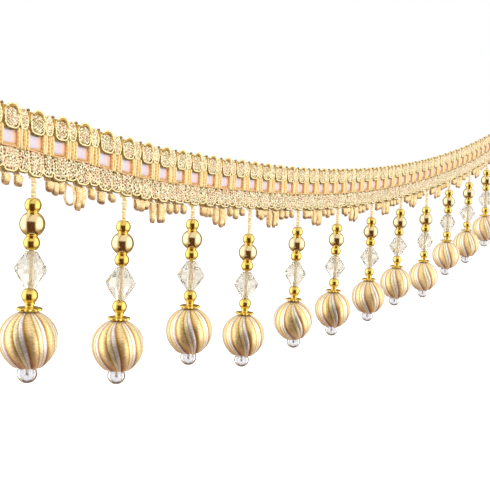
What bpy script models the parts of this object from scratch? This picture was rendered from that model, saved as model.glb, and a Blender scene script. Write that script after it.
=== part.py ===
"""Beaded drop fringe: a gimp heading laced with satin ribbon, a loop fringe and twelve bead drops.

The length hangs by its top edge in a shallow swag. X runs along it, Y goes back and Z goes up, all in
metres. The origin is on the top edge, half way along. A place on the trim is its station, the distance
along the swag from the first drop, and its drop, the distance below the top edge.
"""
import math

import bmesh
import bpy
from mathutils import Matrix, Vector

MM = 0.001
GAP = 0.3 * MM  # clearance between pieces that touch

# The run of the trim
DROPS = 12
DROP_SPACING = 45.0 * MM
WINDOWS_PER_DROP = 4
WINDOW_PITCH = DROP_SPACING / WINDOWS_PER_DROP
BAR_WIDTH = 4.8 * MM  # the warp threads between two windows
END_WINDOWS = 2  # windows outside the first and the last drop's own
WINDOWS = (DROPS - 1) * WINDOWS_PER_DROP + 1 + 2 * END_WINDOWS
FIRST_STATION = -(END_WINDOWS + 0.5) * WINDOW_PITCH - 0.5 * BAR_WIDTH
MID_STATION = 0.5 * (DROPS - 1) * DROP_SPACING

# The swag: a parabola, z = SAG * run * run, from its lowest point
SAG = 0.359  # per metre
LOW_STATION = 197.4 * MM

# Where the hand-hung edge leaves the swag, and by how much
UNEVEN = (  # station mm, rise mm, bulge to the front mm
    (-40, -0.7, -0.5),
    (0, -0.4, -0.6),
    (22, 0.1, -0.7),
    (45, -0.9, 0.5),
    (67, -1.0, 0.5),
    (90, -0.5, -0.3),
    (135, 0.0, -0.2),
    (180, -0.2, 0.3),
    (247, 0.0, 0.0),
    (350, 0.2, -0.3),
    (420, 0.3, -0.7),
    (530, 0.0, -1.9),
)

# The gimp heading
HEADING_FRONT = -0.8 * MM
HEADING_THICKNESS = 1.6 * MM
HEADING_ROWS = (  # drop mm, scallop mm, crown mm: how far arches reach out and stand proud there
    (0.0, 0.6, 0.0),
    (3.4, 0.0, 0.5),
    (7.1, 0.0, 0.1),
    (12.3, 0.0, 0.1),
    (16.0, 0.0, 0.4),
    (20.0, -0.5, 0.0),
)
WINDOW_ROW = 2  # the row of faces that the windows are cut from
HEADING_COLUMNS = (  # share of the pitch, arch: 1 on an arch over a window, 0 at a bar's edge
    (0.0, 0.0),
    (BAR_WIDTH / WINDOW_PITCH, 0.0),
    (0.5 * (1.0 + BAR_WIDTH / WINDOW_PITCH) - 0.1, 1.0),
    (0.5 * (1.0 + BAR_WIDTH / WINDOW_PITCH) + 0.1, 1.0),
)

# The satin ribbon behind the bars
RIBBON_TOP = 6.6 * MM
RIBBON_WIDTH = 6.2 * MM
RIBBON_THICKNESS = 1.0 * MM
RIBBON_FRONT = 1.2 * MM
RIBBON_WAVE = 0.4 * MM  # how far the bars push it back

# The loop fringe
TAPE_TOP = 13.4 * MM
TAPE_WIDTH = 5.0 * MM
TAPE_FRONT = 1.4 * MM
TAPE_THICKNESS = 1.0 * MM
LOOP_BEND = 20.35 * MM  # where the loops and cords come forward from behind the heading
LOOP_WANDER = 0.4 * MM  # how far the loops' bottoms stray along the trim
LOOPS = (  # station from the drop mm, length below the bend mm, ribbon width mm, open: 1 if its inside shows
    (7.4, 4.1, 1.9, 0),
    (10.0, 4.5, 1.9, 0),
    (12.6, 3.9, 1.9, 0),
    (17.0, 7.8, 1.8, 1),
    (22.2, 8.0, 3.2, 0),
    (28.2, 4.0, 1.9, 0),
    (32.8, 4.3, 1.9, 0),
    (38.2, 3.5, 1.9, 0),
)
CLOSED_LENGTH = 4.0
CLOSED_SWING = math.radians(6.0)
CLOSED_LOOP = (  # back mm, drop below the bend mm
    (1.7, -3.0),
    (1.4, 0.0),
    (-0.9, 0.4),
    (-1.1, 2.6),
    (-0.3, 4.0),
    (0.8, 3.9),
    (1.7, 2.2),
    (2.1, -3.0),
)
OPEN_LENGTH = 8.0
OPEN_SWING = math.radians(15.0)
OPEN_LOOP = (  # back mm, drop below the bend mm
    (1.7, -3.0),
    (1.4, 0.0),
    (-1.2, 0.6),
    (-1.7, 6.0),
    (-0.5, 8.0),
    (1.2, 7.8),
    (2.4, 5.2),
    (2.1, -3.0),
)
OPEN_INSIDE = (
    (1.45, 1.0),
    (-0.4, 1.5),
    (-0.9, 6.0),
    (0.3, 7.1),
    (1.55, 5.0),
)
CORD_THICKNESS = 1.4 * MM
CORD_ROOT = 15.4 * MM
CORD_STEP = 1.8 * MM  # how far the cords come forward under the heading's lower edge

# The drops
HEADING_HEIGHT = 20.0 * MM
TAPE_MIDDLE = TAPE_FRONT + 0.5 * TAPE_THICKNESS
HANG_BACK = TAPE_MIDDLE - CORD_STEP
HANG_DROP = HEADING_HEIGHT + CORD_STEP  # a drop swings from here
STEM_LENGTH = 16.7 * MM
CRYSTAL_LENGTH = 11.2 * MM
CAP_LENGTH = 6.35 * MM  # to the crown of its hollow
BALL_RADIUS = 9.25 * MM
BALL_HALF_HEIGHT = 8.95 * MM
BALL_RIB = 0.25 * MM
BALL_COLUMNS = 16
BALL_RINGS = 6
BALL_TWIST = math.radians(30.0)  # how far the ribs turn from the top pole to the bottom
BALL_SETTLE = 0.02 * MM  # how much lower a ball hangs for each degree of its tilt
STOP_BEAD_RADIUS = 3.2 * MM
STOP_BEAD_HALF_HEIGHT = 2.7 * MM
STOP_BEAD_SINK = 0.6 * MM
BEAD_SIDES = 8
DROP_TABLE = (  # cord below the heading mm, lean along deg, lean to the front deg, turn of the ball deg, its tilt deg
    (6.7, -0.6, 0.0, 0, 0),
    (8.7, -1.0, 0.0, 11, 0),
    (5.7, 1.0, 0.2, 25, 0),
    (11.1, -0.8, 0.0, 3, 2),
    (8.2, 0.0, 0.0, 33, -10),
    (8.5, 0.3, 0.0, 18, 0),
    (7.9, 0.3, 1.0, 40, 1),
    (7.2, -0.2, -0.4, 7, 0),
    (11.2, 0.3, 1.0, 28, -2),
    (6.4, 0.3, 0.9, 14, 0),
    (8.3, 0.2, 1.1, 36, 1),
    (7.2, 0.4, 1.8, 21, 0),
)
STEM_PROFILE = (  # radius mm, drop below the bead's top mm: small, large and small bead
    (0.0, 0.0),
    (1.4, 0.0),
    (2.6, 1.5),
    (2.6, 3.2),
    (1.5, 4.7),
    (3.5, 6.3),
    (4.0, 8.35),
    (3.5, 10.4),
    (1.5, 12.0),
    (2.6, 13.5),
    (2.6, 15.2),
    (1.4, 16.7),
    (0.0, 16.7),
)
CRYSTAL_PROFILE = (  # radius mm, drop mm: the girdle is a narrow band round the middle
    (0.0, 0.0),
    (2.2, 0.0),
    (4.2, 2.3),
    (5.4, 4.7),
    (5.4, 6.5),
    (4.2, 8.9),
    (2.2, 11.2),
    (0.0, 11.2),
)
CAP_PROFILE = (  # radius mm, drop mm: a small bead, a neck and the flared cap, hollow underneath
    (0.0, 0.0),
    (1.4, 0.0),
    (2.6, 1.5),
    (2.6, 3.2),
    (1.5, 4.7),
    (3.65, 5.7),
    (3.65, 7.1),
    (0.0, 6.35),
)


for leftover in list(bpy.data.objects):
    bpy.data.objects.remove(leftover)

fringe = bpy.data.collections.new("beaded_drop_fringe")
bpy.context.scene.collection.children.link(fringe)
cutters = bpy.data.collections.new("cutters")
bpy.context.scene.collection.children.link(cutters)


def material(name, colour, roughness, metallic=0.0, transmission=0.0):
    finish = bpy.data.materials.new(name)
    finish.use_nodes = True
    shader = finish.node_tree.nodes["Principled BSDF"]
    shader.inputs["Base Color"].default_value = (*colour, 1.0)
    shader.inputs["Roughness"].default_value = roughness
    shader.inputs["Metallic"].default_value = metallic
    shader.inputs["Transmission Weight"].default_value = transmission
    return finish


GIMP = material("gimp_yarn", (0.80, 0.62, 0.33), 0.85)
SATIN = material("satin_ribbon", (0.86, 0.48, 0.27), 0.4)
LOOP_YARN = material("loop_yarn", (0.82, 0.52, 0.28), 0.8)
GOLD = material("gold_plating", (0.87, 0.64, 0.28), 0.12, metallic=1.0)
CRYSTAL = material("clear_crystal", (0.93, 0.91, 0.88), 0.03, transmission=1.0)
SILK = material("wound_silk", (0.86, 0.66, 0.35), 0.6)


def add_piece(name, data, collection, finish=None):
    piece = bpy.data.objects.new(name, data)
    collection.objects.link(piece)
    if finish is not None and not data.materials:
        data.materials.append(finish)
    return piece


def made_mesh(piece):
    """The piece's shape as a plain mesh, with its points welded. The piece itself is removed."""
    bpy.context.view_layer.update()
    graph = bpy.context.evaluated_depsgraph_get()
    mesh = bpy.data.meshes.new_from_object(piece.evaluated_get(graph))
    bpy.data.objects.remove(piece)
    bm = bmesh.new()
    bm.from_mesh(mesh)
    bmesh.ops.remove_doubles(bm, verts=bm.verts, dist=0.01 * MM)
    bmesh.ops.recalc_face_normals(bm, faces=bm.faces)
    bm.to_mesh(mesh)
    bm.free()
    mesh.materials.clear()
    return mesh


# The swag

def arc_length(run):
    slope = 2.0 * SAG * run
    return 0.5 * run * math.hypot(1.0, slope) + math.asinh(slope) / (4.0 * SAG)


def run_at(length):
    """The level distance from the swag's lowest point at an arc length from it, by Newton's method."""
    run = length
    for _ in range(6):
        run -= (arc_length(run) - length) / math.hypot(1.0, 2.0 * SAG * run)
    return run


def uneven(station, column):
    """The table's value at a station, eased from row to row."""
    place = min(max(station / MM, UNEVEN[0][0]), UNEVEN[-1][0])
    for before, after in zip(UNEVEN, UNEVEN[1:]):
        if place <= after[0]:
            share = (place - before[0]) / (after[0] - before[0])
            ease = share * share * (3.0 - 2.0 * share)
            return (before[column] + (after[column] - before[column]) * ease) * MM
    return UNEVEN[-1][column] * MM


def on_trim(station, drop, back):
    """The point at a station, a distance below the top edge, and a distance behind the hanging plane."""
    mid_run = run_at(MID_STATION - LOW_STATION)
    run = run_at(station - LOW_STATION)
    edge = SAG * (run * run - mid_run * mid_run) + uneven(station, 1)
    return Vector((run - mid_run, back - uneven(station, 2), edge - drop))


# The woven pieces

def band(name, columns, rows, place, finish, thickness, cut=None):
    """A woven strip: a flat grid bent to place(column, row), without its cut(column, row) cells."""
    bm = bmesh.new()
    bmesh.ops.create_grid(bm, x_segments=columns, y_segments=rows, size=1.0)
    if cut is not None:
        holes = []
        for face in bm.faces:
            centre = face.calc_center_median()
            column = math.floor((centre.x + 1.0) / 2.0 * columns)
            row = math.floor((1.0 - centre.y) / 2.0 * rows)
            if cut(column, row):
                holes.append(face)
        bmesh.ops.delete(bm, geom=holes, context="FACES")
    for vert in bm.verts:
        column = round((vert.co.x + 1.0) / 2.0 * columns)
        row = round((1.0 - vert.co.y) / 2.0 * rows)
        vert.co = place(column, row)
    mesh = bpy.data.meshes.new(name)
    bm.to_mesh(mesh)
    bm.free()
    piece = add_piece(name, mesh, fringe, finish)
    solid = piece.modifiers.new("thickness", "SOLIDIFY")
    solid.thickness = thickness
    solid.offset = -1.0
    return piece


def heading_place(column, row):
    share, arch = HEADING_COLUMNS[column % len(HEADING_COLUMNS)]
    station = FIRST_STATION + (column // len(HEADING_COLUMNS) + share) * WINDOW_PITCH
    drop, scallop, crown = HEADING_ROWS[row]
    return on_trim(station, (drop + scallop * (1.0 - arch)) * MM, HEADING_FRONT - crown * arch * MM)


def heading_cut(column, row):
    return row == WINDOW_ROW and column % len(HEADING_COLUMNS) != 0


def ribbon_place(column, row):
    station = FIRST_STATION + 0.5 * BAR_WIDTH + 0.5 * column * WINDOW_PITCH
    behind_bar = RIBBON_WAVE if column % 2 == 0 else 0.0
    return on_trim(station, RIBBON_TOP + row * RIBBON_WIDTH, RIBBON_FRONT + behind_bar)


def tape_place(column, row):
    station = FIRST_STATION + 0.5 * BAR_WIDTH + column * WINDOW_PITCH
    return on_trim(station, TAPE_TOP + row * TAPE_WIDTH, TAPE_FRONT)


band("gimp_heading", WINDOWS * len(HEADING_COLUMNS) + 1, len(HEADING_ROWS) - 1, heading_place,
     GIMP, HEADING_THICKNESS, heading_cut)
band("satin_ribbon", 2 * WINDOWS, 1, ribbon_place, SATIN, RIBBON_THICKNESS)


# The loop fringe and the drops' cords, fused to one tape

def cut_flat(name, outlines, width):
    """A solid of the filled outlines of (back, drop) points. Its width lies along the trim."""
    curve = bpy.data.curves.new(name, "CURVE")
    curve.dimensions = "2D"
    curve.fill_mode = "BOTH"
    curve.extrude = 0.5 * width
    for outline in outlines:
        spline = curve.splines.new("POLY")
        spline.points.add(len(outline) - 1)
        spline.use_cyclic_u = True
        for point, (back, drop) in zip(spline.points, outline):
            point.co = (back * MM, -drop * MM, 0.0, 1.0)
    mesh = made_mesh(add_piece(name, curve, cutters))
    upright = Matrix(((0, 0, 1, 0), (1, 0, 0, 0), (0, 1, 0, 0), (0, 0, 0, 1)))
    mesh.transform(upright)
    return mesh


def add_strand(bm, mesh, placed, width=1.0, stretch=1.0):
    """A copy of the strand's mesh, widened, stretched below its bend and placed by the matrix."""
    already = len(bm.verts)
    bm.from_mesh(mesh)
    bm.verts.ensure_lookup_table()
    strand = bm.verts[already:]
    for vert in strand:
        vert.co.x *= width
        if vert.co.z < 0.0:
            vert.co.z *= stretch
    bmesh.ops.transform(bm, matrix=placed, verts=strand)


def hung_from(number, lean_along, lean_front):
    """The frame a drop swings in, leaning."""
    place = Matrix.Translation(on_trim(number * DROP_SPACING, HANG_DROP, HANG_BACK))
    along = Matrix.Rotation(math.radians(-lean_along), 4, "Y")
    return place @ along @ Matrix.Rotation(math.radians(-lean_front), 4, "X")


def cord_outline(cord):
    """The cord from the tape, forward under the heading and down to the top bead, from where it swings."""
    half = 0.5 * CORD_THICKNESS / MM
    step = CORD_STEP / MM
    root = (CORD_ROOT - HANG_DROP) / MM
    bend = (LOOP_BEND - HANG_DROP) / MM
    bottom = cord - step - GAP / MM
    front = ((step - half, root), (step - half, bend), (-half, bend + 0.3), (-half, bottom))
    back = ((half, bottom), (half, bend + 1.6), (step + half, bend + 0.7), (step + half, root))
    return front + back


closed_loop = cut_flat("closed_loop", (CLOSED_LOOP,), 1.0 * MM)
open_loop = cut_flat("open_loop", (OPEN_LOOP, OPEN_INSIDE), 1.0 * MM)
LAST_STATION = FIRST_STATION + WINDOWS * WINDOW_PITCH + BAR_WIDTH

strands = bmesh.new()
about = Matrix.Translation((0.0, TAPE_MIDDLE, 0.0))
count = 0
for gap in range(-1, DROPS):
    for offset, length, width, is_open in LOOPS:
        station = gap * DROP_SPACING + offset * MM
        if not FIRST_STATION + width * MM < station < LAST_STATION - width * MM:
            continue
        count += 1
        length += LOOP_WANDER / MM * math.sin(2.4 * count)
        place = Matrix.Translation(on_trim(station, LOOP_BEND, 0.0)) @ about
        if is_open:
            swing = Matrix.Rotation(OPEN_SWING, 4, "Z") @ about.inverted()
            add_strand(strands, open_loop, place @ swing, width, length / OPEN_LENGTH)
        else:
            swing = Matrix.Rotation(CLOSED_SWING * math.sin(1.7 * count), 4, "Z") @ about.inverted()
            add_strand(strands, closed_loop, place @ swing, width, length / CLOSED_LENGTH)
for number, (cord, lean_along, lean_front, turn, tilt) in enumerate(DROP_TABLE):
    cord_mesh = cut_flat("cord", (cord_outline(cord),), CORD_THICKNESS)
    add_strand(strands, cord_mesh, hung_from(number, lean_along, lean_front))
strand_mesh = bpy.data.meshes.new("strands")
strands.to_mesh(strand_mesh)
strands.free()
strand_cutter = add_piece("strands", strand_mesh, cutters, LOOP_YARN)
strand_cutter.hide_render = True
strand_cutter.display_type = "WIRE"

tape = band("loop_fringe", WINDOWS, 1, tape_place, LOOP_YARN, TAPE_THICKNESS)
fuse = tape.modifiers.new("strands", "BOOLEAN")
fuse.operation = "UNION"
fuse.solver = "EXACT"
fuse.object = strand_cutter


# The drops

def turned(name, profile):
    """A bead turned from its profile of radii and drops."""
    mesh = bpy.data.meshes.new(name)
    points = [(radius * MM, 0.0, -drop * MM) for radius, drop in profile]
    mesh.from_pydata(points, [(at, at + 1) for at in range(len(points) - 1)], [])
    piece = add_piece(name, mesh, cutters)
    lathe = piece.modifiers.new("lathe", "SCREW")
    lathe.axis = "Z"
    lathe.steps = BEAD_SIDES
    lathe.render_steps = BEAD_SIDES
    lathe.use_merge_vertices = True
    lathe.merge_threshold = 0.01 * MM
    return made_mesh(piece)


def open_bead(sides, rings, radius, half_height, middle, pole):
    """A round bead left open at one pole, 1 for the top and -1 for the bottom, at a height."""
    bm = bmesh.new()
    bmesh.ops.create_uvsphere(bm, u_segments=sides, v_segments=rings, radius=1.0)
    tip = [vert for vert in bm.verts if vert.co.z * pole > 0.99]
    bmesh.ops.delete(bm, geom=tip, context="VERTS")
    bmesh.ops.scale(bm, vec=(radius, radius, half_height), verts=bm.verts)
    bmesh.ops.translate(bm, vec=(0.0, 0.0, middle), verts=bm.verts)
    return bm


def wound_ball():
    """The ball with its twisted ribs, and the stop bead joined under it."""
    bm = open_bead(BALL_COLUMNS, BALL_RINGS, BALL_RADIUS, BALL_HALF_HEIGHT, 0.0, -1)
    for vert in bm.verts:
        radius = math.hypot(vert.co.x, vert.co.y)
        if radius > 0.1 * MM:
            angle = math.atan2(vert.co.y, vert.co.x)
            column = round(angle / (2.0 * math.pi) * BALL_COLUMNS)
            rib = BALL_RIB if column % 2 == 0 else -BALL_RIB
            angle += BALL_TWIST * (0.5 - 0.5 * vert.co.z / BALL_HALF_HEIGHT)
            radius += rib * radius / BALL_RADIUS
            vert.co.x = radius * math.cos(angle)
            vert.co.y = radius * math.sin(angle)
    stop_middle = STOP_BEAD_SINK - BALL_HALF_HEIGHT - STOP_BEAD_HALF_HEIGHT
    stop = open_bead(BEAD_SIDES, 4, STOP_BEAD_RADIUS, STOP_BEAD_HALF_HEIGHT, stop_middle, 1)
    stop_mesh = bpy.data.meshes.new("stop")
    stop.to_mesh(stop_mesh)
    stop.free()
    bm.from_mesh(stop_mesh)
    rims = [edge for edge in bm.edges if edge.is_boundary]
    bmesh.ops.bridge_loops(bm, edges=rims)
    bmesh.ops.recalc_face_normals(bm, faces=bm.faces)
    mesh = bpy.data.meshes.new("ball")
    bm.to_mesh(mesh)
    bm.free()
    return mesh


stem_mesh = turned("stem", STEM_PROFILE)
crystal_mesh = turned("crystal", CRYSTAL_PROFILE)
cap_mesh = turned("cap", CAP_PROFILE)
ball_mesh = wound_ball()

for number, (cord, lean_along, lean_front, turn, tilt) in enumerate(DROP_TABLE):
    name = f"drop_{number + 1:02d}"
    hook = bpy.data.objects.new(name + "_hook", None)
    fringe.objects.link(hook)
    hook.matrix_world = hung_from(number, lean_along, lean_front)
    stem_top = CORD_STEP - cord * MM
    crystal_top = stem_top - STEM_LENGTH - GAP
    cap_top = crystal_top - CRYSTAL_LENGTH - GAP
    ball_middle = cap_top - CAP_LENGTH - GAP - BALL_HALF_HEIGHT - BALL_SETTLE * abs(tilt)
    stem = add_piece(name + "_gold_beads", stem_mesh, fringe, GOLD)
    stem.location.z = stem_top
    crystal = add_piece(name + "_crystal", crystal_mesh, fringe, CRYSTAL)
    crystal.location.z = crystal_top
    cap = add_piece(name + "_cap", cap_mesh, fringe, GOLD)
    cap.location.z = cap_top
    ball = add_piece(name + "_ball", ball_mesh, fringe, SILK)
    ball.location.z = ball_middle
    ball.rotation_mode = "ZYX"
    ball.rotation_euler = (0.0, math.radians(tilt), math.radians(turn))
    for piece in (stem, crystal, cap, ball):
        piece.parent = hook

bpy.context.view_layer.update()
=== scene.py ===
"""Beaded drop fringe: a length of curtain trimming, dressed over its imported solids."""
import math
from functools import partial

import bpy
import numpy as np
from mathutils import Euler, Matrix, Vector


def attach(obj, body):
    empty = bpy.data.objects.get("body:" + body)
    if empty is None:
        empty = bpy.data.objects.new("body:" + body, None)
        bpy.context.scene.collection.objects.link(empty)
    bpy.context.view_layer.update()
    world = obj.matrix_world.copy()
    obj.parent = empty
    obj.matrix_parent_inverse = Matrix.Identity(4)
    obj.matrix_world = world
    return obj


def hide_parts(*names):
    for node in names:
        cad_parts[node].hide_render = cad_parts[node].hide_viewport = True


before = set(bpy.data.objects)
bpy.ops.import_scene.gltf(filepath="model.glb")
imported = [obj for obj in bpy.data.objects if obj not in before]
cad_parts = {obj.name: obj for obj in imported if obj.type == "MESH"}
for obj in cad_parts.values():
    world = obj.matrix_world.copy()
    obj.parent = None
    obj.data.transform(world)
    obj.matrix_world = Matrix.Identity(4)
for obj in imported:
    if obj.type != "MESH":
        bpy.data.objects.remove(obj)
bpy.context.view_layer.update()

# The studio: a white tent of light round the hanging trim, with its camera near the left end and looking
# along it. The tent has one opening, where the camera and its stand show as a dark shape in the beads.
MM = 0.001


def dye(code):
    """An sRGB hex colour as linear red, green, blue and alpha."""
    parts = [int(code[at:at + 2], 16) / 255.0 for at in (1, 3, 5)]
    return (*(part / 12.92 if part <= 0.04045 else ((part + 0.055) / 1.055) ** 2.4 for part in parts), 1.0)


def feed(node, inputs):
    """Links or sets each of a node's inputs that is named."""
    for socket, value in inputs.items():
        if isinstance(value, bpy.types.NodeSocket):
            node.id_data.links.new(value, node.inputs[socket])
        else:
            node.inputs[socket].default_value = value


BLEND = {"output": 2, "data_type": "RGBA"}  # a mix of colours: its inputs are 0, the share, then 6 and 7


def add(tree, kind, inputs=None, output=0, stops=(), **settings):
    """Adds a shader node with its settings and colour stops, feeds its inputs, and returns one output."""
    made = tree.nodes.new("ShaderNode" + kind)
    for setting, value in settings.items():
        setattr(made, setting, value)
    for number, (position, code) in enumerate(stops):
        ramp = made.color_ramp.elements
        stop = ramp[number] if number < 2 else ramp.new(position)
        stop.position, stop.color = position, dye(code)
    feed(made, inputs or {})
    return made.outputs[output] if made.outputs else made


def in_scene(name, data):
    """An object of the scene that shows a camera, a light or a mesh."""
    made = bpy.data.objects.new(name, data)
    bpy.context.scene.collection.objects.link(made)
    return made


camera_data = bpy.data.cameras.new("studio_camera")
camera_data.sensor_fit = "HORIZONTAL"
camera_data.sensor_width = 36.0
camera_data.lens = 69.8
camera_data.clip_start = 0.01
camera_data.clip_end = 20.0
camera = in_scene("studio_camera", camera_data)
camera.location = (-0.468, -0.2033, 0.0)
camera.rotation_euler = (math.radians(84.724), math.radians(-2.788), math.radians(-59.743))
bpy.context.scene.camera = camera
bpy.context.scene.view_settings.view_transform = "Standard"

# The tent's walls as a round bead shows them. Each place is named by the way the bead's face points there:
# across or up it, or how far what it shows lies to the camera's side of the work.
TO_CAMERA = Vector((-0.862, -0.499, 0.09)).normalized()
TO_SIDE = Vector((0.5, -0.866, 0.0))
BEAD_LIGHT = (1.9, 1.9, 1.8, 1.0)
WALL_LIGHT = (1.0, 0.96, 0.88, 1.0)
THROUGH_LIGHT = (1.1, 1.1, 1.1, 1.0)
CLOTH_LIGHT = (0.8, 0.8, 0.8, 1.0)
tent = bpy.data.worlds.new("white_tent")
tent.use_nodes = True
tent.node_tree.nodes.clear()
paint = partial(add, tent.node_tree)
ray = paint("TexCoord", output="Generated")
middle = paint("VectorMath", {0: ray, 1: TO_CAMERA}, operation="ADD")
normal = paint("VectorMath", {0: middle}, operation="NORMALIZE")
facing = paint("VectorMath", {0: ray, 1: TO_CAMERA}, "Value", operation="DOT_PRODUCT")
across = paint("VectorMath", {0: normal, 1: TO_SIDE}, "Value", operation="DOT_PRODUCT")
wide = paint("Math", {0: across}, operation="ABSOLUTE")
high = paint("VectorMath", {0: normal, 1: (0.0, 0.0, 1.0)}, "Value", operation="DOT_PRODUCT")
spread = paint("MapRange", {"Value": high, "From Min": -0.45, "From Max": -0.95, "To Max": -0.16})
stand_wide = paint("Math", {0: wide, 1: spread}, operation="ADD")
opening, stand_foot, stand_top, lit_walls, wall_side, wall_foot, wall_top, floor_share, seam_share = (
    paint("MapRange", {"Value": value, "From Min": outer, "From Max": inner}, interpolation_type="SMOOTHSTEP")
    for value, outer, inner in (
        (stand_wide, 0.38, 0.27), (high, -0.88, -0.78), (high, 0.34, 0.22),
        (wide, 0.36, 0.52), (wide, 0.95, 0.80), (high, -0.55, -0.20), (high, 0.75, 0.50),
        (high, -0.05, -0.65), (facing, -0.25, -0.75),
    )
)
for zone in (stand_foot, stand_top):
    opening = paint("Math", {0: opening, 1: zone}, operation="MULTIPLY")
for zone in (wall_side, wall_foot, wall_top):
    lit_walls = paint("Math", {0: lit_walls, 1: zone}, operation="MULTIPLY")
folds = paint("TexNoise", {"Vector": ray, "Scale": 7.0, "Detail": 2.0})
dim = paint("MapRange", {"Value": folds, "From Min": 0.35, "From Max": 0.65})
stand = paint("Mix", {0: dim, 6: dye("#34190a"), 7: dye("#805838")}, **BLEND)
seam_side = paint("MapRange", {"Value": across, "From Min": -0.5, "From Max": 0.5})
seam_tone = paint("Mix", {0: seam_side, 6: dye("#a3946c"), 7: dye("#75604a")}, **BLEND)
wall = paint("Mix", {0: lit_walls, 6: WALL_LIGHT, 7: BEAD_LIGHT}, **BLEND)
for share, tone in ((floor_share, dye("#b69a66")), (seam_share, seam_tone), (opening, stand)):
    wall = paint("Mix", {0: share, 6: wall, 7: tone}, **BLEND)

# Cloth takes an even light, clear beads see a pale wall through themselves, and the backdrop is white.
paths = paint("LightPath").node.outputs
through = paint("Math", {0: paths["Transmission Depth"], 1: 0.5}, operation="GREATER_THAN")
pale = paint("Mix", {0: dim, 6: dye("#d4d0ca"), 7: THROUGH_LIGHT}, **BLEND)
glow = paint("Mix", {0: paths["Is Glossy Ray"], 6: CLOTH_LIGHT, 7: wall}, **BLEND)
for share, tone in ((through, pale), (paths["Is Camera Ray"], (1.0, 1.0, 1.0, 1.0))):
    glow = paint("Mix", {0: share, 6: glow, 7: tone}, **BLEND)
paint("OutputWorld", {"Surface": paint("Background", {"Color": glow})})
bpy.context.scene.world = tent

for name, place, size, power in (
    ("key_softbox", (-0.9, -0.7, 0.9), 0.7, 9.0),
    ("fill_softbox", (0.7, -1.1, 0.4), 1.0, 5.0),
    ("back_softbox", (0.0, 1.1, 0.7), 1.0, 5.0),
):
    light = bpy.data.lights.new(name, "AREA")
    light.shape = "SQUARE"
    light.size = size
    light.energy = power
    softbox = in_scene(name, light)
    softbox.location = place
    softbox.visible_glossy = False
    softbox.rotation_euler = (Vector((0.0, 0.0, -0.03)) - Vector(place)).to_track_quat("-Z", "Y").to_euler()


def material(name):
    """A new material, with a function that adds nodes to it, and its shader."""
    made = bpy.data.materials.new(name)
    made.use_nodes = True
    return made, partial(add, made.node_tree), made.node_tree.nodes["Principled BSDF"]


# The floor is white background paper, matt, with a faint glow of its own so that it stays as white as the
# walls.
paper, paint, shader = material("white_paper")
grain = paint("TexNoise", {"Scale": 40.0})
tone = paint("Mix", {0: grain, 6: dye("#fbfbfa"), 7: dye("#f7f6f4")}, **BLEND)
feed(shader, {"Base Color": tone, "Roughness": 0.9, "Emission Color": (1.0, 1.0, 1.0, 1.0),
              "Emission Strength": 0.6})
FLOOR_REACH, FLOOR_HEIGHT = 9.0, -0.7
corners = [(x * FLOOR_REACH, y * FLOOR_REACH, FLOOR_HEIGHT) for x, y in ((-1, -1), (1, -1), (1, 1), (-1, 1))]
floor_mesh = bpy.data.meshes.new("studio_floor")
floor_mesh.from_pydata(corners, [], [(0, 1, 2, 3)])
floor_mesh.materials.append(paper)
floor = in_scene("studio_floor", floor_mesh)
floor.visible_glossy = False
floor.visible_transmission = False

# The ground of the gimp heading: a close cotton weave, dyed old gold, that carries all the cords. Its gold is
# kept darker than the cords as painted shade, so that the gaps between them read as shadow. It hangs from its
# top edge in a swag, with a row of windows between its warp bars.
PITCH, BAR, WINDOWS = 11.25, 4.8, 49
START = -2.5 * PITCH - 0.5 * BAR
SAG = 0.000359
LOW_STATION, MID_STATION = 197.4, 247.5
HAND_HUNG = np.array((  # station, rise, bulge to the front
    (-40.0, -0.7, -0.5),
    (0.0, -0.4, -0.6),
    (22.0, 0.1, -0.7),
    (45.0, -0.9, 0.5),
    (67.0, -1.0, 0.5),
    (90.0, -0.5, -0.3),
    (135.0, 0.0, -0.2),
    (180.0, -0.2, 0.3),
    (247.0, 0.0, 0.0),
    (350.0, 0.2, -0.3),
    (420.0, 0.3, -0.7),
    (530.0, 0.0, -1.9),
))


def run_at(length):
    """The level distance from the swag's low point, at lengths along it."""
    run = np.asarray(length, float)
    for _ in range(6):
        slope = 2.0 * SAG * run
        arc = 0.5 * run * np.hypot(1.0, slope) + np.arcsinh(slope) / (4.0 * SAG)
        run = run - (arc - length) / np.hypot(1.0, slope)
    return run


def hand_hung(station, column):
    """How far the hung edge strays from the swag, eased between the table's rows."""
    stations = HAND_HUNG[:, 0]
    before = np.clip(np.searchsorted(stations, station, side="right") - 1, 0, len(stations) - 2)
    share = np.clip((station - stations[before]) / (stations[before + 1] - stations[before]), 0.0, 1.0)
    low, high = HAND_HUNG[before, column], HAND_HUNG[before + 1, column]
    return low + (high - low) * share * share * (3.0 - 2.0 * share)


def on_trim(points):
    """Where (station, drop, back) points on the flat trim hang, in metres."""
    station, drop, back = np.moveaxis(np.asarray(points, float), -1, 0)
    middle_run = run_at(np.array(MID_STATION - LOW_STATION))
    run = run_at(station - LOW_STATION)
    rise = SAG * (run * run - middle_run * middle_run) + hand_hung(station, 1)
    return np.stack((run - middle_run, back - hand_hung(station, 2), rise - drop), axis=-1) * MM


def cloth(stations, drops, back):
    """A grid for a strip of cloth that hangs with the trim, from the places of its warp and its weft."""
    stations, drops = np.asarray(stations), np.asarray(drops)
    flat = np.stack(np.broadcast_arrays(stations[:, None], drops[None, :], back), axis=-1)
    return on_trim(flat), stations, drops, False, 0


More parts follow.
